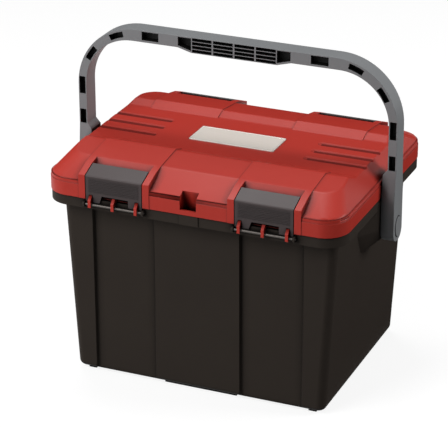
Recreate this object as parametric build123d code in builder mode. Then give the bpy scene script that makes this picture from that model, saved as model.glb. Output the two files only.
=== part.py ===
"""Tackle box with a lid that four lever latches hold, and a bail handle that folds.

Lengths are millimetres. X runs along the width, -Y is the front, and Z = 0 is the floor.
The lid turns on the two rear rods. Front and rear are alike, so most features are made for
one quarter and repeated with the signs side_x and side_y.
"""

import os
from math import atan2, cos, hypot, pi, radians, sin, tan

from build123d import *

os.makedirs("parts", exist_ok=True)

# Fits and cuts
cut_overrun = 12
seat_gap = 0.3
running_clearance = 0.06
fixed_clearance = 0.03
hook_clearance = 0.4

# Tub
foot_height = 5
tub_height = 296.7
tub_end_overhang = 16.5
tub_front_overhang = 29
tub_end_taper = 17
tub_front_taper = 1
tub_corner_radius = 13
tub_bottom_fillet = 9
tub_wall = 3
wall_panel_width = 96
wall_panel_depth = 4.5
wall_panel_side_run = 2
rim_front_inset = 2
rim_end_inset = 0.5
rim_wall = 3
lip_height = 16
upstand_height = 6
mid_foot_width = 118
mid_foot_length = 15
corner_foot_width = 13
corner_foot_length = 30
corner_foot_side_inset = 14.5
foot_front_inset = 15
lock_tab_width = 30
lock_tab_thickness = 1.2
lock_hole_radius = 4.5
lock_hole_inset = 11

# Lid
lid_width = 470
lid_depth = 370
lid_corner_radius = 38
lid_wall = 3
lid_roof = 4.5
skirt_height = 26
skirt_step_height = 5
skirt_step_inset = 0.8
ledge_width = 2
end_ledge_width = 4
ledge_height = 2
front_slope_run = 43
front_slope_rise = 22
side_slope_run = 19
side_slope_rise = 25
dome_corner_radius = 34
crown_corner_radius = 26
ridge_half_spacing = 88
ridge_rise = 6.6
plateau_half_depth = 70
plateau_drop = 6.1
groove_radius = 9
groove_depth = 2.6
groove_pitch = 30
groove_count = 3
groove_start = 124
label_width = 136
label_depth = 55
label_corner_radius = 2
label_thickness = 1.6
label_recess = 1
lock_slot_width = 25.4
lock_slot_strip = 7.3
lock_slot_top_inset = 11.5
lock_slot_rise = 33
lock_slot_undercut = 10.5

# Latch zones of the lid
latch_centre = 118
post_width = 10.5
post_proud = 0.8
post_height = 37
bevel_run = 26.3
bevel_rise = 10
pad_height = 1.2
recess_depth = 17
recess_height = 29
pocket_depth = 35
pocket_wall_height = 8
pocket_slope_run = 6.5
pocket_slope_rise = 12.7

# Rods, lugs and hooks
rod_radius = 2
rod_out = 2
rod_drop = 7.5
rod_end_overhang = 0.6
lug_radius = 4.5
lug_width = 3.5
lug_side_gap = 0.5
hook_width = 4.5
hook_pitch = 37
hook_count = 3
hook_wall = 2.4
hook_reach_below = 3.6
hook_top_rise = 6.5
hook_nose_run = 6
hook_side_gap = 0.7
hook_sweep_gap = 0.6
bar_thickness = 2
bar_reach = 13
bar_pitch = 4
bar_count = 2
bar_width = 42

# Latch levers and their pins
lever_width = 90
lever_side_gap = 1
lever_wall = 2.4
lever_bottom_rise = 0.8
cheek_wall = 2
cheek_neck_gap = 4
cheek_bottom_depth = 5.4
cheek_bottom_gap = 1
pivot_inset = 21
pivot_height = 39.5
knuckle_radius = 4.2
latch_pin_radius = 2
latch_pin_bite = 5
rib_count = 9
rib_pitch = 2.5
rib_height = 1.4
rib_proud = 0.7
rib_side_margin = 5
rib_top_drop = 4
window_half_width = 23
window_slant = 4

# Handle
handle_top = 509
handle_depth = 30
arm_thickness = 13.5
bar_height = 18.5
handle_corner_radius = 98
handle_inner_radius = 78
arm_foot_thickness = 20.5
arm_foot_width = 38
arm_foot_drop = 22.6
arm_foot_rise = 93
arm_foot_straight_rise = 50
arm_foot_radius = 17
arm_foot_gap = 1
arm_shoulder = 12
pivot_below_rim = 48.1
grip_end_rib = 2
grip_end_run = 22
grip_drop = 6
grip_slot_columns = 4
grip_slot_rows = 4
grip_slot_width = 31
grip_slot_height = 4.3
grip_slot_pitch_x = 34
grip_slot_pitch_z = 5.9
grip_slot_depth = 11
flare_pocket_length = 21
web_thickness = 4
flange_thickness = 2
bar_pocket_flange = 3.5
pocket_length = 27
bar_pocket_centre = 135
arm_pocket_shares = (0.96, 0.14)
corner_pocket_angles = (34, 69)
corner_pocket_span = 14.5
corner_pocket_flange = 3.5
corner_pocket_width = 8.5

# Handle housings, pins and caps
housing_gap = 0.4
housing_wall = 3
housing_root_depth = 6
housing_bottom_drop = 36
housing_root_half_widths = (41, 66)
housing_face_half_widths = (20, 27)
housing_face_bottom_drop = 18
housing_tube_wall = 4
handle_pin_radius = 7
handle_pin_bite = 18
handle_pin_head_radius = 10
handle_pin_head_height = 3.4
cap_half_width = 12
cap_half_height = 16
cap_seat_depth = 2.5
cap_groove = 0.8
cap_proud = 1.2
cap_edge = 0.8

# Heights and places worked out from the sizes above
shelf_top = foot_height + tub_height
skirt_bottom = shelf_top + seat_gap
skirt_top = skirt_bottom + skirt_height
slope_bottom = skirt_top + ledge_height
slope_top = slope_bottom + front_slope_rise
ridge_top = slope_top + ridge_rise
plateau_top = ridge_top - plateau_drop
dome_top = ridge_top + ledge_height
lid_face = lid_depth / 2
lid_end = lid_width / 2
tub_top_width = lid_width - 2 * tub_end_overhang
tub_top_depth = lid_depth - 2 * tub_front_overhang
tub_bottom_width = tub_top_width - 2 * tub_end_taper
tub_bottom_depth = tub_top_depth - 2 * tub_front_taper
slope_edge = lid_face - ledge_width
shoulder_edge = slope_edge - front_slope_run
post_face = lid_face + post_proud
post_top = skirt_bottom + post_height
bevel_edge = post_face - bevel_run
bevel_top = post_top + bevel_rise
bevel_angle = atan2(bevel_rise, bevel_run)
rim_half_width = lid_end - rim_end_inset
rim_half_depth = lid_face - rim_front_inset
rim_radius = lid_corner_radius - rim_end_inset
lip_bottom = shelf_top - lip_height
rod_y = lid_face + rod_out
rod_z = skirt_bottom - rod_drop
recess_half_width = lever_width / 2 + lever_side_gap
pad_half_width = recess_half_width + post_width
pad_toe = plateau_half_depth - pad_height * (ridge_half_spacing - plateau_half_depth) / plateau_drop
lug_inner = lever_width / 2 + lug_side_gap
rod_half_length = lug_inner + lug_width + rod_end_overhang
pivot_y = lid_face - pivot_inset
pivot_z = skirt_bottom + pivot_height
lever_bottom = rod_z + rod_radius + lever_bottom_rise
hook_top = skirt_bottom + hook_top_rise
hook_sweep_radius = hypot(rod_radius + hook_clearance + hook_wall, hook_reach_below) + hook_sweep_gap
handle_pivot_z = shelf_top - pivot_below_rim
arm_foot_inner = lid_end + arm_foot_gap
handle_half_width = arm_foot_inner + arm_foot_thickness
arm_inner = handle_half_width - arm_thickness
housing_face = arm_foot_inner - housing_gap
cap_seat = handle_half_width - cap_seat_depth
handle_half_depth = handle_depth / 2
grip_half_length = ((grip_slot_columns - 1) * grip_slot_pitch_x + grip_slot_width) / 2 + grip_end_rib
both_sides = (-1, 1)
corners = [(side_x, side_y) for side_x in both_sides for side_y in both_sides]
side_names = {-1: "left", 1: "right"}
end_names = {-1: "front", 1: "rear"}


def spread(count, pitch):
    """Places of count things about zero, one pitch apart."""
    return [(index - (count - 1) / 2) * pitch for index in range(count)]


def facing(side_y, points):
    """Turn (distance outwards, height) pairs into (Y, Z) pairs for the front or the rear."""
    return [(side_y * out, height) for out, height in points]


def prism_x(points, x_low, x_high, mode=Mode.ADD):
    """Extrude a YZ outline along X."""
    with BuildSketch(Plane.YZ.offset(x_low)) as outline:
        Polygon(*points)
    extrude(to_extrude=outline.sketch, amount=x_high - x_low, mode=mode)


def prism_y(points, y_low, y_high, mode=Mode.ADD):
    """Extrude an XZ outline along Y."""
    with BuildSketch(Plane.XZ.offset(-y_low)) as outline:
        Polygon(*points)
    extrude(to_extrude=outline.sketch, amount=y_low - y_high, mode=mode)


def prism_z(points, z_low, z_high, mode=Mode.ADD):
    """Extrude an XY outline along Z."""
    with BuildSketch(Plane.XY.offset(z_low)) as outline:
        Polygon(*points)
    extrude(to_extrude=outline.sketch, amount=z_high - z_low, mode=mode)


def round_x(y, z, radius, x_low, x_high, mode=Mode.ADD):
    """A cylinder along X."""
    with BuildSketch(Plane.YZ.offset(x_low)) as disc:
        with Locations((y, z)):
            Circle(radius)
    extrude(to_extrude=disc.sketch, amount=x_high - x_low, mode=mode)


def capsule_x(y, z, radius, x_low, x_high, mode=Mode.ADD):
    """A round-ended cylinder along X, whose end centres are at x_low and x_high."""
    with BuildSketch(Plane.XZ.offset(-y)) as half:
        with BuildLine():
            CenterArc((x_low, z), radius, 180, 90)
            Line((x_low, z - radius), (x_high, z - radius))
            CenterArc((x_high, z), radius, 270, 90)
            Line((x_high + radius, z), (x_low - radius, z))
        make_face()
    revolve(half.sketch, axis=Axis((0, y, z), (1, 0, 0)), mode=mode)


def rounded_prism(width, depth, radius, z_low, z_high, mode=Mode.ADD):
    """An upright block with round corners in plan."""
    with BuildSketch(Plane.XY.offset(z_low)) as plan:
        RectangleRounded(width, depth, radius)
    extrude(to_extrude=plan.sketch, amount=z_high - z_low, mode=mode)


def rounded_loft(low, high, z_low, z_high, mode=Mode.ADD):
    """A tapered block between two (width, depth, corner radius) plans."""
    with BuildSketch(Plane.XY.offset(z_low)) as low_plan:
        RectangleRounded(*low)
    with BuildSketch(Plane.XY.offset(z_high)) as high_plan:
        RectangleRounded(*high)
    loft(sections=[low_plan.sketch, high_plan.sketch], ruled=True, mode=mode)


def rectangle(x_low, x_high, y_low, y_high):
    """Corner points of a rectangle."""
    return [(x_low, y_low), (x_high, y_low), (x_high, y_high), (x_low, y_high)]


def recess_outline(wall):
    """Section of a latch recess as (outwards, height), grown into the lid by a wall."""
    slope = atan2(pocket_slope_rise, pocket_slope_run)
    pocket_back = lid_face - pocket_depth - wall
    pocket_top = skirt_bottom + recess_height + pocket_wall_height + (
        wall - wall / sin(slope)
    ) * tan(slope)
    return [
        (lid_face + cut_overrun, skirt_bottom - cut_overrun),
        (lid_face + cut_overrun, pocket_top + 2 * pocket_slope_rise),
        (pocket_back - 2 * pocket_slope_run, pocket_top + 2 * pocket_slope_rise),
        (pocket_back, pocket_top),
        (pocket_back, skirt_bottom + recess_height - wall),
        (lid_face - recess_depth - wall, skirt_bottom + recess_height - wall),
        (lid_face - recess_depth - wall, skirt_bottom - cut_overrun),
    ]


def lock_slot_outline(wall):
    """Section of the padlock slot as (outwards, height), grown into the lid by a wall."""
    top = lid_face - lock_slot_top_inset - wall
    lean = lock_slot_undercut / lock_slot_rise
    return [
        (lid_face + cut_overrun, skirt_bottom + lock_slot_strip),
        (lid_face + cut_overrun, skirt_bottom + lock_slot_rise + wall + cut_overrun),
        (top + lean * cut_overrun, skirt_bottom + lock_slot_rise + wall + cut_overrun),
        (top - lock_slot_undercut - lean * cut_overrun, skirt_bottom - cut_overrun),
        (lid_face - lid_wall, skirt_bottom - cut_overrun),
        (lid_face - lid_wall, skirt_bottom + lock_slot_strip),
    ]


def crown_outline(drop):
    """Section across the lid's top as (Y, Z), lowered by a drop."""
    fall = ridge_rise / (shoulder_edge - ridge_half_spacing)
    outer = ridge_top - fall * (lid_face - ridge_half_spacing)
    half = [
        (lid_face, skirt_bottom - cut_overrun),
        (lid_face, outer - drop),
        (ridge_half_spacing, ridge_top - drop),
        (plateau_half_depth, plateau_top - drop),
    ]
    return half + [(-y, z) for y, z in reversed(half)]


def dome_plan(z, wall):
    """Plan (width, depth, corner radius) of the lid's sloped dome at a height, less a wall."""
    rise = z - slope_bottom
    front_inset = ledge_width + rise * front_slope_run / front_slope_rise
    side_inset = end_ledge_width + rise * side_slope_run / side_slope_rise
    front_inset += wall / sin(atan2(front_slope_rise, front_slope_run))
    side_inset += wall / sin(atan2(side_slope_rise, side_slope_run))
    share = rise / (dome_top - slope_bottom)
    radius = dome_corner_radius + (crown_corner_radius - dome_corner_radius) * share
    return lid_width - 2 * side_inset, lid_depth - 2 * front_inset, radius - wall


def housing(side_x, start, wall, mode=Mode.ADD):
    """A tapered housing for a handle pin, from a start on X out to its face, less a wall."""
    stations = (start, housing_face - wall)
    bottoms = (handle_pivot_z - housing_bottom_drop, handle_pivot_z - housing_face_bottom_drop)
    widths = (housing_root_half_widths, housing_face_half_widths)
    top = shelf_top - rim_wall - wall
    sections = []
    for station, bottom, (low_half, high_half) in zip(stations, bottoms, widths):
        with BuildSketch(Plane.YZ.offset(side_x * station)) as outline:
            Polygon(
                (wall - low_half, bottom + wall),
                (low_half - wall, bottom + wall),
                (high_half - wall, handle_pivot_z),
                (high_half - wall, top),
                (wall - high_half, top),
                (wall - high_half, handle_pivot_z),
            )
        sections.append(outline.sketch)
    loft(sections=sections, ruled=True, mode=mode)


# Hollow of the tub, stepped in behind the sunken wall panels and over their tops
with BuildPart() as tub_hollow:
    rounded_loft(
        (tub_bottom_width - 2 * tub_wall, tub_bottom_depth - 2 * tub_wall, tub_corner_radius - tub_wall),
        (tub_top_width - 2 * tub_wall, tub_top_depth - 2 * tub_wall, tub_corner_radius - tub_wall),
        foot_height + tub_wall,
        shelf_top + upstand_height + cut_overrun,
    )
    fillet(tub_hollow.faces().sort_by(Axis.Z)[0].edges(), tub_bottom_fillet - tub_wall)
    for side_x, side_y in corners:
        middle = side_x * latch_centre
        half = wall_panel_width / 2 + tub_wall
        inner = tub_bottom_depth / 2 - wall_panel_depth - tub_wall
        outer = tub_top_depth / 2 + cut_overrun
        prism_z(
            rectangle(middle - half, middle + half, side_y * inner, side_y * outer),
            0,
            lip_bottom + tub_wall,
            mode=Mode.SUBTRACT,
        )

with BuildPart() as tub:
    rounded_loft(
        (tub_bottom_width, tub_bottom_depth, tub_corner_radius),
        (tub_top_width, tub_top_depth, tub_corner_radius),
        foot_height,
        shelf_top + upstand_height,
    )
    fillet(tub.faces().sort_by(Axis.Z)[0].edges(), tub_bottom_fillet)
    # Sunken panels under the latches, with sloped sides
    for side_x, side_y in corners:
        middle = side_x * latch_centre
        half = wall_panel_width / 2
        floor_y = tub_bottom_depth / 2 - wall_panel_depth
        spread_run = wall_panel_side_run * (1 + cut_overrun / wall_panel_depth)
        prism_z(
            [
                (middle - half, side_y * floor_y),
                (middle + half, side_y * floor_y),
                (middle + half + spread_run, side_y * (floor_y + wall_panel_depth + cut_overrun)),
                (middle - half - spread_run, side_y * (floor_y + wall_panel_depth + cut_overrun)),
            ],
            0,
            lip_bottom,
            mode=Mode.SUBTRACT,
        )
    # Rim: a shelf that the lid rests on, with a lip turned down at its edge
    rounded_prism(2 * rim_half_width, 2 * rim_half_depth, rim_radius, shelf_top - rim_wall, shelf_top)
    with BuildSketch(Plane.XY.offset(lip_bottom)) as lip:
        RectangleRounded(2 * rim_half_width, 2 * rim_half_depth, rim_radius)
        RectangleRounded(
            2 * (rim_half_width - rim_wall),
            2 * (rim_half_depth - rim_wall),
            rim_radius - rim_wall,
            mode=Mode.SUBTRACT,
        )
    extrude(amount=lip_height)
    # Tapered housings that carry the handle's pins
    for side_x in both_sides:
        housing(side_x, tub_top_width / 2 - housing_root_depth, 0)
    # Lugs for the rods
    for side_x, side_y in corners:
        for lug_side in both_sides:
            near = side_x * latch_centre + lug_side * lug_inner
            far = near + lug_side * lug_width
            tongue = rectangle(side_y * (rim_half_depth - rim_wall), side_y * rod_y,
                               rod_z - lug_radius, rod_z + lug_radius)
            prism_x(tongue, near, far)
            round_x(side_y * rod_y, rod_z, lug_radius, near, far)
    # Thickened lip under the padlock slots
    for side_y in both_sides:
        tab_half = lock_tab_width / 2
        tab = rectangle(-tab_half, tab_half, side_y * (rim_half_depth - rim_wall),
                        side_y * (rim_half_depth + lock_tab_thickness))
        prism_z(tab, lip_bottom, shelf_top)
    # Feet
    for side_y in both_sides:
        front = tub_bottom_depth / 2 - foot_front_inset
        mid_half = mid_foot_width / 2
        mid_foot = rectangle(-mid_half, mid_half, side_y * (front - mid_foot_length), side_y * front)
        prism_z(mid_foot, 0, foot_height + tub_wall)
        for side_x in both_sides:
            outer = tub_bottom_width / 2 - corner_foot_side_inset
            corner_foot = rectangle(side_x * (outer - corner_foot_width), side_x * outer,
                                    side_y * (front - corner_foot_length), side_y * front)
            prism_z(corner_foot, 0, foot_height + tub_wall)
    add(tub_hollow.part, mode=Mode.SUBTRACT)
    # Hollow inside each housing, round a tube for the pin
    for side_x in both_sides:
        start = tub_top_width / 2 - housing_root_depth - cut_overrun
        housing(side_x, start, housing_wall, mode=Mode.SUBTRACT)
        tube_inner = side_x * (housing_face - handle_pin_bite - housing_wall)
        round_x(0, handle_pivot_z, handle_pin_radius + housing_tube_wall, tube_inner, side_x * housing_face)
        round_x(
            0,
            handle_pivot_z,
            handle_pin_radius + fixed_clearance,
            side_x * (housing_face - handle_pin_bite),
            side_x * (housing_face + cut_overrun),
            mode=Mode.SUBTRACT,
        )
    # Rod holes, room for the hooks to turn, and holes for a padlock
    for side_x, side_y in corners:
        middle = side_x * latch_centre
        round_x(side_y * rod_y, rod_z, rod_radius + fixed_clearance, middle - rod_half_length,
                middle + rod_half_length, mode=Mode.SUBTRACT)
        for offset_x in spread(hook_count, hook_pitch):
            half = hook_width / 2 + hook_side_gap
            round_x(side_y * rod_y, rod_z, hook_sweep_radius, middle + offset_x - half,
                    middle + offset_x + half, mode=Mode.SUBTRACT)
    for side_y in both_sides:
        with BuildSketch(Plane.XY.offset(shelf_top - rim_wall - cut_overrun)) as lock_hole:
            with Locations((0, side_y * (lid_face - lock_hole_inset))):
                Circle(lock_hole_radius)
        extrude(amount=rim_wall + 2 * cut_overrun, mode=Mode.SUBTRACT)

tub.part.label = "tub"
export_step(tub.part, "parts/tub.step")

# Hollow of the lid, kept clear of the latch recesses and padlock slots
with BuildPart() as lid_hollow:
    inner_low = slope_bottom - lid_wall
    rounded_prism(lid_width - 2 * lid_wall, lid_depth - 2 * lid_wall, lid_corner_radius - lid_wall,
                  skirt_bottom - cut_overrun, inner_low)
    rounded_loft(dome_plan(inner_low, lid_wall), dome_plan(dome_top, lid_wall), inner_low, dome_top)
    prism_x(crown_outline(lid_roof), -lid_end, lid_end, mode=Mode.INTERSECT)
    for side_x, side_y in corners:
        middle = side_x * latch_centre
        half = recess_half_width + lid_wall
        prism_x(facing(side_y, recess_outline(lid_wall)), middle - half, middle + half, mode=Mode.SUBTRACT)
    for side_y in both_sides:
        half = lock_slot_width / 2 + lid_wall
        prism_x(facing(side_y, lock_slot_outline(lid_wall)), -half, half, mode=Mode.SUBTRACT)

with BuildPart() as lid:
    step_bottom = skirt_top - skirt_step_height
    rounded_prism(lid_width, lid_depth, lid_corner_radius, skirt_bottom, step_bottom)
    rounded_prism(lid_width - 2 * skirt_step_inset, lid_depth - 2 * skirt_step_inset,
                  lid_corner_radius - skirt_step_inset, step_bottom, skirt_top)
    rounded_prism(*dome_plan(slope_bottom, 0), skirt_top, slope_bottom)
    rounded_loft(dome_plan(slope_bottom, 0), dome_plan(dome_top, 0), slope_bottom, dome_top)
    prism_x(crown_outline(0), -lid_end, lid_end, mode=Mode.INTERSECT)
    # Raised pads with a post on each side of a latch
    for side_x, side_y in corners:
        middle = side_x * latch_centre
        pad = [
            (post_face, skirt_bottom),
            (post_face, post_top),
            (bevel_edge, bevel_top),
            (shoulder_edge, slope_top + pad_height),
            (ridge_half_spacing, ridge_top + pad_height),
            (pad_toe, plateau_top),
            (pad_toe, plateau_top - lid_roof / 2),
            (ridge_half_spacing, ridge_top - lid_roof),
            (lid_face - pocket_depth, slope_bottom),
            (lid_face - pocket_depth, skirt_bottom),
        ]
        prism_x(facing(side_y, pad), middle - pad_half_width, middle + pad_half_width)
    add(lid_hollow.part, mode=Mode.SUBTRACT)
    for side_x, side_y in corners:
        middle = side_x * latch_centre
        prism_x(facing(side_y, recess_outline(0)), middle - recess_half_width, middle + recess_half_width,
                mode=Mode.SUBTRACT)
    for side_y in both_sides:
        half = lock_slot_width / 2
        prism_x(facing(side_y, lock_slot_outline(0)), -half, half, mode=Mode.SUBTRACT)
    # Grooves beside the label plate, round at the inner end and open at the edge of the crown
    for side_x in both_sides:
        for groove_y in spread(groove_count, groove_pitch):
            groove_ends = sorted((side_x * groove_start, side_x * lid_end))
            capsule_x(groove_y, plateau_top + groove_radius - groove_depth, groove_radius, *groove_ends,
                      mode=Mode.SUBTRACT)
    # Seat of the label plate
    rounded_prism(label_width + 2 * fixed_clearance, label_depth + 2 * fixed_clearance, label_corner_radius,
                  plateau_top - label_recess, plateau_top + cut_overrun, mode=Mode.SUBTRACT)
    # Hooks over the rods, and the bars behind each latch's window
    for side_x, side_y in corners:
        middle = side_x * latch_centre
        hook_bore = rod_radius + hook_clearance
        hook_face = rod_y + hook_bore + hook_wall
        hook = [
            (lid_face - recess_depth - lid_wall, skirt_bottom + seat_gap),
            (rod_y - hook_bore, skirt_bottom + seat_gap),
            (rod_y - hook_bore, rod_z),
            (rod_y + hook_bore, rod_z),
            (rod_y + hook_bore, rod_z - hook_reach_below),
            (hook_face, rod_z - hook_reach_below),
            (hook_face, skirt_bottom),
            (hook_face - hook_nose_run, hook_top),
            (lid_face - recess_depth - lid_wall, hook_top),
        ]
        for offset_x in spread(hook_count, hook_pitch):
            near = middle + offset_x - hook_width / 2
            prism_x(facing(side_y, hook), near, near + hook_width)
            round_x(side_y * rod_y, rod_z, hook_bore, near, near + hook_width, mode=Mode.SUBTRACT)
        for index in range(bar_count):
            bar_low = skirt_bottom + seat_gap + bar_thickness / 2 + index * bar_pitch
            bar = [
                (lid_face - recess_depth - lid_wall, bar_low),
                (lid_face - recess_depth + bar_reach, bar_low),
                (lid_face - recess_depth + bar_reach, bar_low + bar_thickness),
                (lid_face - recess_depth - lid_wall, bar_low + bar_thickness),
            ]
            prism_x(facing(side_y, bar), middle - bar_width / 2, middle + bar_width / 2)
        # Holes in the posts for the latch pin
        pin_half = lever_width / 2 + lever_side_gap + latch_pin_bite
        round_x(side_y * pivot_y, pivot_z, latch_pin_radius + fixed_clearance, middle - pin_half,
                middle + pin_half, mode=Mode.SUBTRACT)

lid.part.label = "lid"
export_step(lid.part, "parts/lid.step")

with BuildPart() as label_plate:
    rounded_prism(label_width, label_depth, label_corner_radius, plateau_top - label_recess,
                  plateau_top - label_recess + label_thickness)

label_plate.part.label = "label_plate"
export_step(label_plate.part, "parts/label_plate.step")


def lever_section():
    """Section of a latch lever as (outwards, height): a front plate and a bevelled top."""
    turn = pi / 2 - bevel_angle
    return [
        (post_face, lever_bottom),
        (post_face, post_top),
        (bevel_edge, bevel_top),
        (bevel_edge - lever_wall * sin(bevel_angle), bevel_top - lever_wall * cos(bevel_angle)),
        (post_face - lever_wall, post_top - lever_wall * tan(turn / 2)),
        (post_face - lever_wall, lever_bottom),
    ]


def cheek_section():
    """Section of a lever's side cheek, from the front plate back to the knuckle."""
    section_points = lever_section()
    cheek_bottom = skirt_bottom + cheek_bottom_gap
    return [
        (post_face - lever_wall / 2, cheek_bottom),
        section_points[1],
        section_points[2],
        section_points[3],
        (pivot_y, pivot_z - knuckle_radius),
        (lid_face - recess_depth + cheek_neck_gap, skirt_bottom + recess_height + cheek_bottom_gap),
        (post_face - lever_wall - cheek_bottom_depth, cheek_bottom),
    ]


# Latch levers, their pins and the rods below them
for side_x, side_y in corners:
    place = end_names[side_y] + "_" + side_names[side_x]
    middle = side_x * latch_centre
    lever_low = middle - lever_width / 2
    lever_high = middle + lever_width / 2

    with BuildPart() as lever:
        prism_x(facing(side_y, lever_section()), lever_low, lever_high)
        prism_x(facing(side_y, cheek_section()), lever_low, lever_low + cheek_wall)
        prism_x(facing(side_y, cheek_section()), lever_high - cheek_wall, lever_high)
        round_x(side_y * pivot_y, pivot_z, knuckle_radius, lever_low, lever_high)
        for index in range(rib_count):
            rib_top = post_top - rib_top_drop - index * rib_pitch
            rib = [
                (post_face - lever_wall / 2, rib_top),
                (post_face + rib_proud, rib_top - rib_height / 3),
                (post_face + rib_proud, rib_top - 2 * rib_height / 3),
                (post_face - lever_wall / 2, rib_top - rib_height),
            ]
            prism_x(facing(side_y, rib), lever_low + rib_side_margin, lever_high - rib_side_margin)
        # Window over the middle hook, with one slanted end, and slots for the outer hooks
        plate_out = side_y * (post_face + cut_overrun)
        plate_in = side_y * (post_face - 2 * lever_wall)
        opening_top = hook_top + hook_side_gap
        window = [
            (-window_half_width, lever_bottom - cut_overrun),
            (window_half_width, lever_bottom - cut_overrun),
            (window_half_width, opening_top),
            (-window_half_width + window_slant, opening_top),
            (-window_half_width, lever_bottom),
        ]
        prism_y([(middle - side_y * x, z) for x, z in window], plate_in, plate_out, mode=Mode.SUBTRACT)
        for offset_x in (-hook_pitch, hook_pitch):
            half = hook_width / 2 + hook_side_gap
            slot = rectangle(middle + offset_x - half, middle + offset_x + half,
                             lever_bottom - cut_overrun, opening_top)
            prism_y(slot, plate_in, plate_out, mode=Mode.SUBTRACT)
        round_x(side_y * pivot_y, pivot_z, latch_pin_radius + running_clearance, lever_low - cut_overrun,
                lever_high + cut_overrun, mode=Mode.SUBTRACT)

    lever.part.label = "latch_" + place
    export_step(lever.part, "parts/latch_" + place + ".step")

    with BuildPart() as latch_pin:
        pin_half = lever_width / 2 + lever_side_gap + latch_pin_bite - seat_gap
        round_x(side_y * pivot_y, pivot_z, latch_pin_radius, middle - pin_half, middle + pin_half)

    latch_pin.part.label = "latch_pin_" + place
    export_step(latch_pin.part, "parts/latch_pin_" + place + ".step")

    with BuildPart() as rod:
        round_x(side_y * rod_y, rod_z, rod_radius, middle - rod_half_length, middle + rod_half_length)

    rod.part.label = "rod_" + place
    export_step(rod.part, "parts/rod_" + place + ".step")

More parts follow.
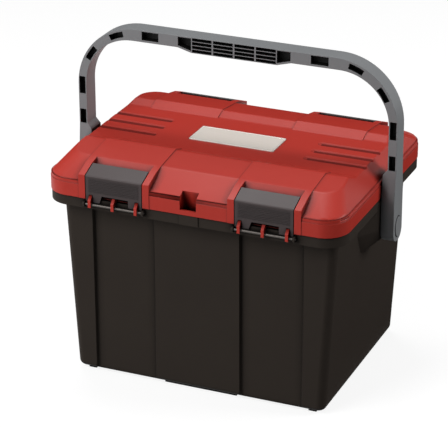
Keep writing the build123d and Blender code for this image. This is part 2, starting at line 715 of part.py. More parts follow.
with BuildPart() as handle:
    arm_bottom = handle_pivot_z
    with BuildSketch(Plane.XZ) as outer_face:
        with Locations((0, (arm_bottom + handle_top) / 2)):
            Rectangle(2 * handle_half_width, handle_top - arm_bottom)
        fillet(outer_face.vertices().group_by(Axis.Y)[-1], handle_corner_radius)
    extrude(amount=handle_half_depth, both=True)
    with BuildSketch(Plane.XZ) as inner_face:
        inner_top = handle_top - bar_height
        with Locations((0, (arm_bottom - cut_overrun + inner_top) / 2)):
            Rectangle(2 * arm_inner, inner_top - arm_bottom + cut_overrun)
        fillet(inner_face.vertices().group_by(Axis.Y)[-1], handle_inner_radius)
    extrude(amount=handle_depth, both=True, mode=Mode.SUBTRACT)
    # Broad feet of the arms, thickened inwards under a sloped shoulder
    for side_x in both_sides:
        foot_bottom = handle_pivot_z - arm_foot_drop
        foot_top = handle_pivot_z + arm_foot_rise
        foot_half = arm_foot_width / 2
        with BuildSketch(Plane.YZ.offset(side_x * arm_foot_inner)) as arm_foot:
            Polygon(
                (-foot_half, foot_bottom),
                (foot_half, foot_bottom),
                (foot_half, handle_pivot_z + arm_foot_straight_rise),
                (handle_half_depth, foot_top),
                (-handle_half_depth, foot_top),
                (-foot_half, handle_pivot_z + arm_foot_straight_rise),
            )
            fillet(arm_foot.vertices().group_by(Axis.Y)[0], arm_foot_radius)
        extrude(amount=side_x * (handle_half_width - arm_foot_inner))
        shoulder = [
            (side_x * (arm_foot_inner - cut_overrun), foot_top - arm_shoulder - cut_overrun),
            (side_x * arm_inner, foot_top),
            (side_x * arm_inner, foot_top + cut_overrun),
            (side_x * (arm_foot_inner - cut_overrun), foot_top + cut_overrun),
        ]
        prism_y(shoulder, -handle_depth, handle_depth, mode=Mode.SUBTRACT)
    # Hand grip hanging below the bar
    grip = [
        (-grip_half_length - grip_end_run, inner_top + flange_thickness),
        (grip_half_length + grip_end_run, inner_top + flange_thickness),
        (grip_half_length + grip_end_run, inner_top),
        (grip_half_length, inner_top - grip_drop),
        (-grip_half_length, inner_top - grip_drop),
        (-grip_half_length - grip_end_run, inner_top),
    ]
    prism_y(grip, -handle_half_depth, handle_half_depth)
    # Blind pockets and grip slots on the front and rear faces
    corner_x = handle_half_width - handle_corner_radius
    corner_z = handle_top - handle_corner_radius
    outer_radius = handle_corner_radius - corner_pocket_flange
    inner_radius = outer_radius - corner_pocket_width
    for side_y in both_sides:
        with BuildSketch(Plane.XZ.offset(-side_y * handle_half_depth)) as pockets:
            flare_end = grip_half_length + flare_pocket_length
            flare_rise = grip_drop * flare_pocket_length / grip_end_run
            Polygon(
                (grip_half_length, handle_top - flange_thickness),
                (flare_end, handle_top - flange_thickness),
                (flare_end, inner_top - grip_drop + flare_rise + bar_pocket_flange),
                (grip_half_length, inner_top - grip_drop + bar_pocket_flange),
            )
            bar_pocket_middle = (handle_top - flange_thickness + inner_top + bar_pocket_flange) / 2
            with Locations((bar_pocket_centre, bar_pocket_middle)):
                Rectangle(pocket_length, bar_height - flange_thickness - bar_pocket_flange)
            for share in arm_pocket_shares:
                pocket_z = foot_top + share * (corner_z - foot_top)
                with Locations((handle_half_width - arm_thickness / 2, pocket_z)):
                    Rectangle(arm_thickness - 2 * flange_thickness, pocket_length)
            for angle in corner_pocket_angles:
                start = angle - corner_pocket_span / 2
                with BuildLine():
                    CenterArc((corner_x, corner_z), outer_radius, start, corner_pocket_span)
                    CenterArc((corner_x, corner_z), inner_radius, start, corner_pocket_span)
                    for edge_angle in (start, start + corner_pocket_span):
                        ray = (cos(radians(edge_angle)), sin(radians(edge_angle)))
                        Line(
                            (corner_x + inner_radius * ray[0], corner_z + inner_radius * ray[1]),
                            (corner_x + outer_radius * ray[0], corner_z + outer_radius * ray[1]),
                        )
                make_face()
            mirror(about=Plane.YZ)
        extrude(amount=side_y * (handle_half_depth - web_thickness / 2), mode=Mode.SUBTRACT)
        with BuildSketch(Plane.XZ.offset(-side_y * handle_half_depth)) as grip_slots:
            with Locations((0, handle_top - (bar_height + grip_drop) / 2)):
                with GridLocations(grip_slot_pitch_x, grip_slot_pitch_z, grip_slot_columns, grip_slot_rows):
                    Rectangle(grip_slot_width, grip_slot_height)
        extrude(amount=side_y * grip_slot_depth, mode=Mode.SUBTRACT)
    # Pin holes with room for the pin's head, and oval seats for the caps
    for side_x in both_sides:
        round_x(0, handle_pivot_z, handle_pin_radius + running_clearance, side_x * (arm_foot_inner - cut_overrun),
                side_x * (handle_half_width + cut_overrun), mode=Mode.SUBTRACT)
        round_x(0, handle_pivot_z, handle_pin_head_radius + seat_gap,
                side_x * (cap_seat - handle_pin_head_height - 2 * seat_gap), side_x * cap_seat, mode=Mode.SUBTRACT)
        with BuildSketch(Plane.YZ.offset(side_x * cap_seat)) as cap_seat_face:
            with Locations((0, handle_pivot_z)):
                Ellipse(cap_half_width + cap_groove, cap_half_height + cap_groove)
        extrude(amount=side_x * (cap_seat_depth + cut_overrun), mode=Mode.SUBTRACT)

handle.part.label = "handle"
export_step(handle.part, "parts/handle.step")

# Handle pins and their caps
for side_x in both_sides:
    head_top = cap_seat - seat_gap
    with BuildPart() as handle_pin:
        round_x(0, handle_pivot_z, handle_pin_radius, side_x * (housing_face - handle_pin_bite + seat_gap),
                side_x * head_top)
        round_x(0, handle_pivot_z, handle_pin_head_radius, side_x * (head_top - handle_pin_head_height),
                side_x * head_top)

    handle_pin.part.label = "handle_pin_" + side_names[side_x]
    export_step(handle_pin.part, "parts/handle_pin_" + side_names[side_x] + ".step")

    with BuildPart() as handle_cap:
        with BuildSketch(Plane.YZ.offset(side_x * cap_seat)) as cap_face:
            with Locations((0, handle_pivot_z)):
                Ellipse(cap_half_width, cap_half_height)
        extrude(amount=side_x * (cap_seat_depth + cap_proud))
        outer_rim = handle_cap.faces().sort_by(Axis.X)[-1 if side_x > 0 else 0].edges()
        chamfer(outer_rim, cap_edge)

    handle_cap.part.label = "handle_cap_" + side_names[side_x]
    export_step(handle_cap.part, "parts/handle_cap_" + side_names[side_x] + ".step")
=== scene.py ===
# %% [markdown]
# # A tackle box in moulded plastic
# The box has a dark tub, a red lid, a grey bail handle and four lever latches over steel rods.
# Its exact shapes come from a CAD model, which is loaded here as a frame that never moves.
# What Blender adds is what a mould and a finish give: rounded edges, grain, gloss and light.

# %% Load the frame
import math

import bpy
from mathutils import Matrix, Vector


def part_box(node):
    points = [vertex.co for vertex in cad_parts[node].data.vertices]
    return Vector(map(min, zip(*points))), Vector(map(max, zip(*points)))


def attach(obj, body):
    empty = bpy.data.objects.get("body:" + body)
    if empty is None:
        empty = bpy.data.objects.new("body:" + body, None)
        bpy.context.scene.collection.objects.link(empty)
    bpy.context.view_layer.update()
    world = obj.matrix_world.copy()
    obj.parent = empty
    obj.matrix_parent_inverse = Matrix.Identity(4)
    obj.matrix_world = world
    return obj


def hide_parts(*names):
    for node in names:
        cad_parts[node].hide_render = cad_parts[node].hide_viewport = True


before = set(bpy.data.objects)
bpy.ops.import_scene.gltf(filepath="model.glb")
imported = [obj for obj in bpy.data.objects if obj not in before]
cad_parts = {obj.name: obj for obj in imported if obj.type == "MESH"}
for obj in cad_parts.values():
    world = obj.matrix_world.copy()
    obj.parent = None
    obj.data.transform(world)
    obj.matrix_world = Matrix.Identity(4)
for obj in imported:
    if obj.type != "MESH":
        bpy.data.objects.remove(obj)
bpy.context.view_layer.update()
scene = bpy.context.scene
scene.view_settings.view_transform = "Standard"

# %% [markdown]
# ## The camera
# A camera can be dragged into place by eye, or worked out from the object's parallel edges.
# The second way is used: the edges of the box gave the viewing direction, the focal length and
# the point that the lens looks at. The small shift stands for the photograph being cropped.

# %% Camera
image_width, image_height = 448, 428
focal_pixels = 2197.8
aim_pixel_x, aim_pixel_y = 237.56, 224.54
distance = 3.3537
looks_at = Vector((0, 0, 0.212))
right = Vector((0.9224, 0.3862, 0)).normalized()
forward = Vector((-0.3526, 0.8421, -0.4082)).normalized()
upward = right.cross(forward).normalized()

camera_data = bpy.data.cameras.new("camera")
camera_data.sensor_width = 36
camera_data.lens = focal_pixels / image_width * camera_data.sensor_width
camera_data.shift_x = -(aim_pixel_x - image_width / 2) / image_width
camera_data.shift_y = (aim_pixel_y - image_height / 2) / image_width
camera = bpy.data.objects.new("camera", camera_data)
scene.collection.objects.link(camera)
placing = Matrix((right, upward, -forward)).transposed().to_4x4()
placing.translation = looks_at - distance * forward
camera.matrix_world = placing
scene.camera = camera
print("lens", round(camera_data.lens, 1), "mm at", [round(c, 2) for c in placing.translation])

# %% [markdown]
# ## Colours and nodes
# Colours are written as they look on a screen, in sRGB hex, and one function turns them to the
# linear values that a renderer counts with. A second function adds a shader node, so that each
# material below reads as a list of its layers. The last one mixes two colours by a pattern.

# %% Colour and node helpers
def linear(hex_colour):
    """An sRGB hex colour as linear red, green, blue and alpha."""
    screen = [int(hex_colour[i:i + 2], 16) / 255 for i in (1, 3, 5)]
    return [c / 12.92 if c <= 0.04045 else ((c + 0.055) / 1.055) ** 2.4 for c in screen] + [1]


def add_node(tree, kind, inputs=None, **settings):
    """Add a shader node with its settings; an input is a value or the socket it is linked to."""
    node = tree.nodes.new(kind)
    for name, value in settings.items():
        setattr(node, name, value)
    for name, value in (inputs or {}).items():
        if isinstance(value, bpy.types.NodeSocket):
            tree.links.new(value, node.inputs[name])
        else:
            node.inputs[name].default_value = value
    return node


def empty_material(name):
    """A material with nothing in its node tree."""
    material = bpy.data.materials.new(name)
    material.use_nodes = True
    material.node_tree.nodes.clear()
    return material, material.node_tree


def mixed_colour(tree, pattern, first, second):
    """The colour that goes from one hex colour to another as a pattern rises."""
    mix = add_node(tree, "ShaderNodeMix", {"Factor": pattern}, data_type="RGBA")
    for name, colour in (("A", first), ("B", second)):
        # A Mix node has sockets of the same name for numbers, vectors and colours
        socket = next(s for s in mix.inputs if s.name == name and s.type == "RGBA")
        socket.default_value = linear(colour)
    return next(s for s in mix.outputs if s.type == "RGBA")


print("red of the lid in linear light", [round(c, 3) for c in linear("#ba3429")[:3]])

# %% [markdown]
# ## Moulded plastic
# The tub and the lid are polypropylene, the levers, handle and caps are ABS, and all of them
# come from a steel mould. The mould's surface was spark-eroded, so the plastic has a fine even
# grain, and where the melt cooled slowly the colour and the gloss drift a little. Both could be
# painted as images. Noise in the material does the same at any size and needs no unwrapping.
# Corners are also painted darker, as painted shade; the Ambient Occlusion node finds them.

# %% Moulded plastic
flow_size = 0.07
corner_shade_reach = 0.014
corner_shade_contrast = 2.5
gloss_drift = 0.05


def moulded_plastic(name, colour, drift_colour, roughness, grain_mm, grain_height_mm, specular):
    """Plastic with a drifting colour and gloss, a spark-eroded grain and painted shade in corners.
    """
    material, tree = empty_material(name)
    place = add_node(tree, "ShaderNodeTexCoord").outputs["Object"]
    # Melt flow shows over some 70 mm, so the noise repeats about every 0.07 m
    flow = add_node(tree, "ShaderNodeTexNoise", {
        "Vector": place, "Scale": 1 / flow_size, "Detail": 3}).outputs["Fac"]
    tone = mixed_colour(tree, flow, colour, drift_colour)
    # Painted shade darkens corners and grooves, within about 14 mm of the next face
    near = add_node(tree, "ShaderNodeAmbientOcclusion", {"Distance": corner_shade_reach}, samples=8)
    corner_shade = add_node(tree, "ShaderNodeMath", {
        0: near.outputs["AO"], 1: corner_shade_contrast}, operation="POWER")
    tone_in_shade = add_node(tree, "ShaderNodeVectorMath", {
        0: tone, "Scale": corner_shade.outputs[0]}, operation="SCALE")
    gloss = add_node(tree, "ShaderNodeMapRange", {
        "Value": flow, "To Min": roughness - gloss_drift, "To Max": roughness + gloss_drift})
    # Real grain is about 0.3 mm wide; it is drawn wider so that it shows at this image size
    grain = add_node(tree, "ShaderNodeTexNoise", {
        "Vector": place, "Scale": 1000 / grain_mm, "Detail": 2})
    bump = add_node(tree, "ShaderNodeBump", {
        "Height": grain.outputs["Fac"], "Strength": 0.6, "Distance": grain_height_mm / 1000})
    shader = add_node(tree, "ShaderNodeBsdfPrincipled", {
        "Base Color": tone_in_shade.outputs["Vector"],
        "Roughness": gloss.outputs["Result"],
        "Normal": bump.outputs["Normal"],
        "IOR": 1.5,
        "Specular IOR Level": specular,
    })
    add_node(tree, "ShaderNodeOutputMaterial", {"Surface": shader.outputs["BSDF"]})
    return material


# Dull, nearly black brown: little shine, so the tub reads as one dark mass
tub_plastic = moulded_plastic(
    "black_polypropylene_moulded", "#322c28", "#37312c", 0.55, 1.6, 0.05, 0.06)
# Satin red with a broad soft shine on the slopes
lid_plastic = moulded_plastic(
    "red_polypropylene_moulded", "#ba3429", "#b23126", 0.42, 1.8, 0.03, 0.26)
# Harder and smoother charcoal, with the clearest shine of the plastics
latch_plastic = moulded_plastic(
    "charcoal_abs_moulded", "#443b3b", "#483f3f", 0.36, 1.4, 0.03, 0.2)
# Flat mid grey that tells the handle from everything else
handle_plastic = moulded_plastic(
    "grey_abs_moulded", "#828486", "#888a8c", 0.42, 1.6, 0.03, 0.15)
# Black painted shade for the insides of the handle's pockets, so they look deep
pocket_shade_plastic = moulded_plastic(
    "black_painted_pocket_shade", "#161514", "#1a1918", 0.6, 1.6, 0.03, 0.2)
# Slippery dark acetal of the handle's pins
pin_plastic = moulded_plastic(
    "charcoal_acetal_pin", "#3a3636", "#3e3a3a", 0.4, 1.2, 0.02, 0.4)
print("plastics", [material.name for material in (
    tub_plastic, lid_plastic, latch_plastic, handle_plastic, pocket_shade_plastic, pin_plastic)])

# %% [markdown]
# ## Steel and foil
# The rods and latch pins are drawn steel wire with a thin plating, so fine marks run along them.
# The label is silver lacquer on a thin aluminium plate, brushed along its length. The colour of
# metal sits in its reflection, and stretched noise gives the brushed look.

# %% Plated wire and brushed foil
metal_gloss_drift = 0.06


def brushed_metal(name, colour, mark_colour, roughness, mark_length_mm, mark_width_mm, height_mm,
                  metallic):
    """Metal, or lacquer with metal flakes, with fine marks along X."""
    material, tree = empty_material(name)
    place = add_node(tree, "ShaderNodeTexCoord").outputs["Object"]
    along, across = 1000 / mark_length_mm, 1000 / mark_width_mm
    stretch = add_node(tree, "ShaderNodeMapping", {
        "Vector": place, "Scale": (along, across, across)})
    marks = add_node(tree, "ShaderNodeTexNoise", {
        "Vector": stretch.outputs["Vector"], "Scale": 1, "Detail": 3}).outputs["Fac"]
    gloss = add_node(tree, "ShaderNodeMapRange", {
        "Value": marks,
        "To Min": roughness - metal_gloss_drift,
        "To Max": roughness + metal_gloss_drift,
    })
    bump = add_node(tree, "ShaderNodeBump", {
        "Height": marks, "Strength": 0.4, "Distance": height_mm / 1000})
    shader = add_node(tree, "ShaderNodeBsdfPrincipled", {
        "Base Color": mixed_colour(tree, marks, colour, mark_colour),
        "Metallic": metallic,
        "Roughness": gloss.outputs["Result"],
        "Normal": bump.outputs["Normal"],
    })
    add_node(tree, "ShaderNodeOutputMaterial", {"Surface": shader.outputs["BSDF"]})
    return material


# Dark grey metal with a thin streak of light along each rod
steel = brushed_metal("plated_steel_wire", "#57524f", "#4b4744", 0.45, 14, 0.8, 0.02, 1)
# Pale and even, with a faint sheen; real marks are finer than the 1.2 mm drawn here
foil = brushed_metal("silver_lacquer_on_aluminium", "#e2dad1", "#d8cfc6", 0.55, 30, 1.2, 0.01, 0.2)
# A lighter line round the label
bright_rim = brushed_metal("polished_aluminium_rim", "#f2efea", "#e8e4de", 0.4, 30, 1.5, 0.01, 0.3)
print("metals", steel.name, foil.name, bright_rim.name)

# %% [markdown]
# ## Edges that came out of a mould
# A CAD edge is perfectly sharp, and a sharp edge catches no light. A moulded one has a radius,
# and the thin highlight along it is what tells the eye that this is plastic. A Bevel modifier
# rounds a mesh well when its flat faces are single faces, so each copy of a CAD node is first
# merged and its flat triangles are dissolved. Large forms get a large radius and small ones a
# small radius, through a weight on each edge. An edge with no weight stays sharp, which is the
# choice where a face is too thin to give up room for a radius on both sides.

# %% Rounded copies of CAD nodes
merge_distance = 0.000002
flat_within = math.radians(0.4)
sharp_above = math.radians(14)
smooth_below = math.radians(38)


def soften(node, name, body, material, radius_mm, weight):
    """Stand a copy in for a CAD node, its sharp edges rounded by radius_mm times a weight."""
    piece = bpy.data.objects.new(name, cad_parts[node].data.copy())
    scene.collection.objects.link(piece)
    bpy.ops.object.select_all(action="DESELECT")
    piece.select_set(True)
    bpy.context.view_layer.objects.active = piece
    bpy.ops.object.mode_set(mode="EDIT")
    bpy.ops.mesh.select_all(action="SELECT")
    bpy.ops.mesh.remove_doubles(threshold=merge_distance)
    bpy.ops.mesh.dissolve_limited(angle_limit=flat_within)
    bpy.ops.mesh.select_all(action="DESELECT")
    bpy.ops.mesh.select_mode(type="EDGE")
    bpy.ops.mesh.edges_select_sharp(sharpness=sharp_above)
    bpy.ops.object.mode_set(mode="OBJECT")

    mesh = piece.data
    weights = mesh.attributes.new("bevel_weight_edge", "FLOAT", "EDGE")
    sharp_edges = [edge for edge in mesh.edges if edge.select]
    for edge in sharp_edges:
        ends = [mesh.vertices[i].co * 1000 for i in edge.vertices]
        weights.data[edge.index].value = weight((ends[0] + ends[1]) / 2, ends)
    bevel = piece.modifiers.new("mould radius", "BEVEL")
    bevel.limit_method = "WEIGHT"
    bevel.width = radius_mm / 1000
    bevel.segments = 3
    bevel.use_clamp_overlap = False
    bevel.loop_slide = False
    bpy.ops.object.modifier_apply(modifier=bevel.name)
    bpy.ops.object.shade_smooth_by_angle(angle=smooth_below)
    flatten = piece.modifiers.new("flat faces stay flat", "WEIGHTED_NORMAL")
    flatten.keep_sharp = True
    bpy.ops.object.modifier_apply(modifier=flatten.name)

    mesh.materials.clear()
    mesh.materials.append(material)
    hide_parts(node)
    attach(piece, body)
    print(name, "sharp edges", len(sharp_edges), "faces", len(mesh.polygons))
    return piece


# %% [markdown]
# ## Tub
# The tub is one moulding with thin walls, a rim with a turned-down lip, and a housing on each end
# for the handle. Its edges have a radius of about 0.7 mm, and the housings one of about 1 mm.
# The floor fillet is round already, and the underside of the lip and the rod lugs are too thin
# for a radius, so those stay as they are. All places are in mm.

# %% Tub
tub_radius = 1.6
wall_share, housing_share = 0.45, 0.6
fillet_low, fillet_high = 8, 26
lip_under_low, lip_under_high = 284.5, 287
lug_start, lug_low, lug_high = 180.8, 288, 301
housing_start, housing_high = 217, 298


def tub_weight(middle, ends):
    in_floor_fillet = fillet_low < middle.z < fillet_high
    under_lip = lip_under_low < middle.z < lip_under_high
    on_lug = abs(middle.y) > lug_start and lug_low < middle.z < lug_high
    if in_floor_fillet or under_lip or on_lug:
        return 0
    on_housing = abs(middle.x) > housing_start and middle.z < housing_high
    return housing_share if on_housing else wall_share


tub = soften("tub", "tub_moulding", "tub", tub_plastic, tub_radius, tub_weight)

# %% [markdown]
# The feet stand on a slant: their lower edge reaches outwards, so that it shows under the wall
# from in front. The lower corners are picked by height and moved.

# %% Slanted feet
foot_reach = 0.0045
foot_low = 0.0035
foot_outer = 0.1385
moved = 0
bpy.ops.object.mode_set(mode="EDIT")
bpy.ops.mesh.select_mode(type="VERT")
for way in (-1, 1):
    bpy.ops.mesh.select_all(action="DESELECT")
    bpy.ops.object.mode_set(mode="OBJECT")
    for corner in tub.data.vertices:
        corner.select = corner.co.z < foot_low and way * corner.co.y > foot_outer
        moved += corner.select
    bpy.ops.object.mode_set(mode="EDIT")
    bpy.ops.transform.translate(value=(0, way * foot_reach, 0))
bpy.ops.object.mode_set(mode="OBJECT")
print("foot corners moved", moved)

# %% [markdown]
# ## Lid
# The lid's crown has broad soft edges where its flat faces meet, and crisp small ones round the
# latch recesses and the grooves. The weight below tells them apart by where an edge lies: the
# crown starts above the ledge, and the recesses and grooves have their own places, in mm.
# The ledge, the hooks, and the backs and mouths of the recesses have thin faces and stay sharp.

# %% Lid
lid_radius = 2.4
crown_share, crisp_share = 1, 0.22
ledge_low, crown_low = 325, 331
latch_centre, recess_half_width, recess_start = 118, 57.5, 60
recess_back_near, recess_back_far = 166.5, 169.5
recess_mouth_start, recess_mouth_high = 185, 324
hook_start, hook_high = 167, 310
slot_half_width, slot_start = 14, 150
groove_start, groove_half_depth = 112, 44
label_half_width, label_half_depth = 69, 29


def lid_weight(middle, ends):
    x, y, z = abs(middle.x), abs(middle.y), middle.z
    in_recess = abs(x - latch_centre) < recess_half_width and y > recess_start
    in_slot = x < slot_half_width and y > slot_start
    in_groove = x > groove_start and y < groove_half_depth
    in_label = x < label_half_width and y < label_half_depth
    if z > crown_low and not (in_recess or in_slot or in_groove or in_label):
        return crown_share
    on_ledge = ledge_low < z < crown_low
    on_hook = z < hook_high and y > hook_start
    on_recess_back = in_recess and recess_back_near < y < recess_back_far
    on_recess_mouth = in_recess and y > recess_mouth_start and z < recess_mouth_high
    return 0 if on_ledge or on_hook or on_recess_back or on_recess_mouth else crisp_share


lid = soften("lid", "lid_moulding", "lid", lid_plastic, lid_radius, lid_weight)

# %% [markdown]
# The grooves beside the label get painted shade: a darker, duller red on the faces along their
# bottoms stands for the shade that falls in them. The faces are picked by place: below the top
# of the lid, and not on the slopes at the grooves' ends, which face sideways.

# %% Painted shade in the grooves
# Deep matt red, painted shade that draws each groove as a dark stripe
groove_shade_red = moulded_plastic(
    "red_polypropylene_painted_groove_shade", "#7a1d16", "#701a14", 0.6, 1.8, 0.03, 0.1)
lid.data.materials.append(groove_shade_red)
groove_shade_low, groove_shade_high = 349.6, 351.2
sideways = 0.2
shaded = 0
for face in lid.data.polygons:
    x, y, z = face.center * 1000
    in_groove = abs(x) > groove_start and abs(y) < groove_half_depth
    if in_groove and groove_shade_low < z < groove_shade_high and abs(face.normal.x) < sideways:
        face.material_index = 1
        shaded += 1
print("dirty faces", shaded)

# %% [markdown]
# ## Lever latches
# Four levers are alike, apart from the turned rear pair. The edge between the front plate and
# the bevelled top is the one a thumb rides over, so it has the largest radius. The ribs are so
# fine that only a trace of a radius fits on them.

# %% Lever latches
latch_places = ("front_left", "front_right", "rear_left", "rear_right")
lever_radius = 1.6
thumb_share, lever_share, rib_share = 1, 0.3, 0.08
rib_low, rib_high, rib_half_length, rib_start = 313, 336, 42, 185.3
thumb_low, thumb_high, thumb_start, thumb_length = 338, 340, 185, 20


def lever_weight(middle, ends):
    x, y, z = abs(middle.x), abs(middle.y), middle.z
    on_rib = rib_low < z < rib_high and abs(x - latch_centre) < rib_half_length and y > rib_start
    if on_rib:
        return rib_share
    along = abs(ends[0].x - ends[1].x) > thumb_length
    on_thumb_edge = along and thumb_low < z < thumb_high and y > thumb_start
    return thumb_share if on_thumb_edge else lever_share


for place in latch_places:
    soften("latch_" + place, "lever_" + place, "latch_" + place, latch_plastic,
           lever_radius, lever_weight)

# %% [markdown]
# ## Bail handle
# The handle is a grey frame with blind pockets that save plastic. Its outer edges have a larger
# radius than the rims of the pockets, and they are found from the bail's outline: straight
# arms, a straight bar and a round corner between them.

# %% Bail handle
handle_radius = 1.4
outline_share, pocket_share = 0.5, 0.3
bail_half_width, bail_top, bail_half_depth = 256.5, 509, 15
outer_corner_x, outer_corner_z, outer_radius = 158.5, 411, 98
outline_slack = 0.6
face_slack = 0.5


def depth_from_outside(x, z):
    """How far a point of the front view lies inside the bail's outer outline, in mm."""
    if x > outer_corner_x and z > outer_corner_z:
        return outer_radius - math.hypot(x - outer_corner_x, z - outer_corner_z)
    return min(bail_half_width - x, bail_top - z)


def handle_weight(middle, ends):
    on_outline = depth_from_outside(abs(middle.x), middle.z) < outline_slack
    on_face = abs(middle.y) > bail_half_depth - face_slack
    return outline_share if on_outline and on_face else pocket_share


handle = soften("handle", "bail_handle", "handle", handle_plastic,
                handle_radius, handle_weight)

# %% [markdown]
# The pockets and the slots of the grip are deep, and the shade inside them is painted: a second,
# black material on the faces inside them. A face belongs to a pocket when it lies well inside
# the bail's outline, seen from the front, and below the front face.

# %% Painted shade inside the pockets
inner_corner_x, inner_corner_z, inner_radius = 165, 412.5, 78
bar_bottom = 490.5
grip_drop, grip_end, grip_run = 6, 90.5, 22
arm_inside = 243
arm_low = 350
pocket_margin = 1.2
pocket_sunk = 0.03


def depth_from_inside(x, z):
    """How far a point of the front view lies outside the bail's opening, in mm."""
    if x > inner_corner_x and z > inner_corner_z:
        return math.hypot(x - inner_corner_x, z - inner_corner_z) - inner_radius
    if z > inner_corner_z:
        grip_part = min(max((grip_end - x) / grip_run, 0), 1)
        return z - bar_bottom + grip_drop * grip_part
    return x - arm_inside


handle.data.materials.append(pocket_shade_plastic)
inside = 0
for face in handle.data.polygons:
    x, z = abs(face.center.x) * 1000, face.center.z * 1000
    highest = max(abs(handle.data.vertices[i].co.y) for i in face.vertices) * 1000
    depth = min(depth_from_outside(x, z), depth_from_inside(x, z))
    if z > arm_low and highest < bail_half_depth - pocket_sunk and depth > pocket_margin:
        face.material_index = 1
        inside += 1
print("pocket faces", inside)

# %% [markdown]
# ## Caps and rods
# Oval caps close the handle's pivots, and each lever snaps over a rod. Both only need their edges
# broken, so the same function serves, with the same weight everywhere.

# %% Caps and rods
broken_edge = 0.4


def full_weight(middle, ends):
    return 1


for side in ("left", "right"):
    soften("handle_cap_" + side, "pivot_cap_" + side, "handle", handle_plastic,
           broken_edge, full_weight)
for place in latch_places:
    soften("rod_" + place, "wire_rod_" + place, "tub", steel, broken_edge, full_weight)

# %% [markdown]
# ## Pins and the plate
# The pins sit inside the posts and arms, and little of them shows. The plate's edge lies in the
# lid. So these CAD nodes stay, and only get their material.

# %% Pins and plate
finishes = {"latch_pin": steel, "label_plate": foil, "handle_pin": pin_plastic}
finished = []
for name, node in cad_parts.items():
    for start, finish in finishes.items():
        if name.startswith(start):
            node.data.materials.clear()
            node.data.materials.append(finish)
            finished.append(name)
print("finished as they are", finished)

# %% [markdown]
# ## Rim of the label plate
# The plate is let into the lid and has a bright raised rim. A plane of the plate's size, inset
# once, gives the rim's face; the middle is deleted, and extruding what is left makes it solid.

# %% Rim of the label plate
plate_low, plate_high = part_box("label_plate")
rim_width = 0.0016
rim_height = 0.0005
rim_corner_radius = 0.002
rim_edge_radius = 0.0002
bpy.ops.object.select_all(action="DESELECT")
bpy.ops.mesh.primitive_plane_add(size=1, location=(0, 0, plate_high[2]))
rim = bpy.context.object
rim.name = "label_rim"
rim.scale = (plate_high[0] - plate_low[0], plate_high[1] - plate_low[1], 1)
bpy.ops.object.transform_apply(location=True, rotation=True, scale=True)
bpy.ops.object.mode_set(mode="EDIT")
bpy.ops.mesh.select_all(action="SELECT")
bpy.ops.mesh.bevel(offset=rim_corner_radius, segments=4, affect="VERTICES")
bpy.ops.mesh.select_all(action="SELECT")
bpy.ops.mesh.inset(thickness=rim_width)
bpy.ops.mesh.delete(type="FACE")
bpy.ops.mesh.select_all(action="SELECT")
bpy.ops.mesh.extrude_region_move(TRANSFORM_OT_translate={"value": (0, 0, rim_height)})
bpy.ops.mesh.select_all(action="SELECT")
bpy.ops.mesh.normals_make_consistent(inside=False)
bpy.ops.object.mode_set(mode="OBJECT")
round_off = rim.modifiers.new("rounded", "BEVEL")
round_off.width = rim_edge_radius
round_off.segments = 2
bpy.ops.object.modifier_apply(modifier=round_off.name)
bpy.ops.object.shade_smooth_by_angle(angle=math.radians(40))
rim.data.materials.append(bright_rim)
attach(rim, "lid")
print("rim faces", len(rim.data.polygons))

# %% [markdown]
# ## Floor and background
# The box stands on a plain white sweep. The floor is a mid-grey surface that takes the shadow. It
# is lifted to white only where it is looked at, straight or in a reflection, so that it meets the
# white background without a line and yet throws little light back at the box.

# %% Floor and background
floor_size = 12
floor_drop = 0.0002
floor_lift = 0.84
ambient_light = 0.14


def looked_at(tree):
    """1 for rays from the camera, from reflections and through clear things, else 0."""
    path = add_node(tree, "ShaderNodeLightPath")
    seen = path.outputs["Is Camera Ray"]
    for kind in ("Is Glossy Ray", "Is Transmission Ray"):
        either = add_node(tree, "ShaderNodeMath", {
            0: seen, 1: path.outputs[kind]}, operation="MAXIMUM")
        seen = either.outputs[0]
    return seen


bpy.ops.object.select_all(action="DESELECT")
bpy.ops.mesh.primitive_plane_add(size=floor_size, location=(0, 0, -floor_drop))
floor = bpy.context.object
floor.name = "floor"
# Matt paper: no shine, only the box's shadow
floor_paper, tree = empty_material("white_paper_sweep")
paper = add_node(tree, "ShaderNodeBsdfDiffuse", {"Color": linear("#8c8c8c")})
lift = add_node(tree, "ShaderNodeEmission", {"Color": linear("#ffffff"), "Strength": floor_lift})
none = add_node(tree, "ShaderNodeEmission", {"Strength": 0.0})
which = add_node(tree, "ShaderNodeMixShader", {
    0: looked_at(tree), 1: none.outputs[0], 2: lift.outputs[0]})
both = add_node(tree, "ShaderNodeAddShader", {0: paper.outputs[0], 1: which.outputs[0]})
add_node(tree, "ShaderNodeOutputMaterial", {"Surface": both.outputs[0]})
floor.data.materials.append(floor_paper)

world = bpy.data.worlds.new("studio")
scene.world = world
world.use_nodes = True
tree = world.node_tree
tree.nodes.clear()
ambient = add_node(tree, "ShaderNodeBackground", {
    "Color": linear("#ffffff"), "Strength": ambient_light})
white = add_node(tree, "ShaderNodeBackground", {"Color": linear("#ffffff"), "Strength": 1.0})
shown = add_node(tree, "ShaderNodeMixShader", {
    0: looked_at(tree), 1: ambient.outputs[0], 2: white.outputs[0]})
add_node(tree, "ShaderNodeOutputWorld", {"Surface": shown.outputs[0]})
print("floor", floor_size, "m wide, ambient light", ambient_light)

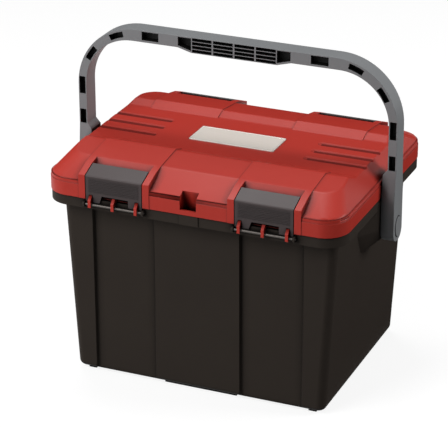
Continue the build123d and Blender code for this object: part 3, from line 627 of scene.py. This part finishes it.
# %% [markdown]
# ## Light
# One big lamp would do, but a catalogue studio uses several soft boxes, so that no side is lost.
# The key stands high in front and to the left, a weaker one stands low beside it for the tub's
# front, one behind the right end draws the shadow of the handle's arm, and one hangs overhead.

# %% Light
def soft_box(name, place, aims_at, size, watts):
    """A square area light that faces a point."""
    bpy.ops.object.select_all(action="DESELECT")
    bpy.ops.object.light_add(type="AREA", location=place)
    lamp = bpy.context.object
    lamp.name = name
    lamp.data.energy = watts
    lamp.data.size = size
    towards = Vector(aims_at) - Vector(place)
    lamp.rotation_euler = towards.to_track_quat("-Z", "Y").to_euler()


soft_box("key", (-1.0, -2.0, 2.0), (0, -0.1, 0.33), 1.2, 34)
soft_box("front", (-1.5, -1.6, 0.8), (0, 0, 0.3), 0.9, 13)
soft_box("side", (2.1, 0.6, 1.3), (0, 0, 0.3), 0.8, 25)
soft_box("top", (-0.6, 0.65, 2.6), (0, 0, 0.35), 1.0, 21)

# %% [markdown]
# ## Flags
# White surroundings mirror in dark plastic and turn it hazy. A photographer puts black felt just
# out of the picture, called a flag. Here two planes do so: only reflections see them, so they
# cast no shadow and the background stays white.

# %% Flags
# Black that gives back almost no light
felt, tree = empty_material("black_felt")
nap = add_node(tree, "ShaderNodeBsdfDiffuse", {"Color": linear("#101010")})
add_node(tree, "ShaderNodeOutputMaterial", {"Surface": nap.outputs[0]})


def add_flag(name, middle, width, height, turn):
    """A felt plane that shows in reflections alone."""
    bpy.ops.object.select_all(action="DESELECT")
    bpy.ops.mesh.primitive_plane_add(size=1, location=middle, rotation=turn)
    flag = bpy.context.object
    flag.name = name
    flag.scale = (width, height, 1)
    flag.visible_camera = False
    flag.visible_diffuse = False
    flag.visible_shadow = False
    flag.visible_transmission = False
    flag.data.materials.append(felt)


upright = (math.radians(90), 0, math.radians(22))
add_flag("rear_flag", (-1.0, 2.4, 1.3), 5, 2.4, upright)
add_flag("floor_flag", (1.405, 1.0, 0.0005), 2.4, 4.0, (0, 0, 0))
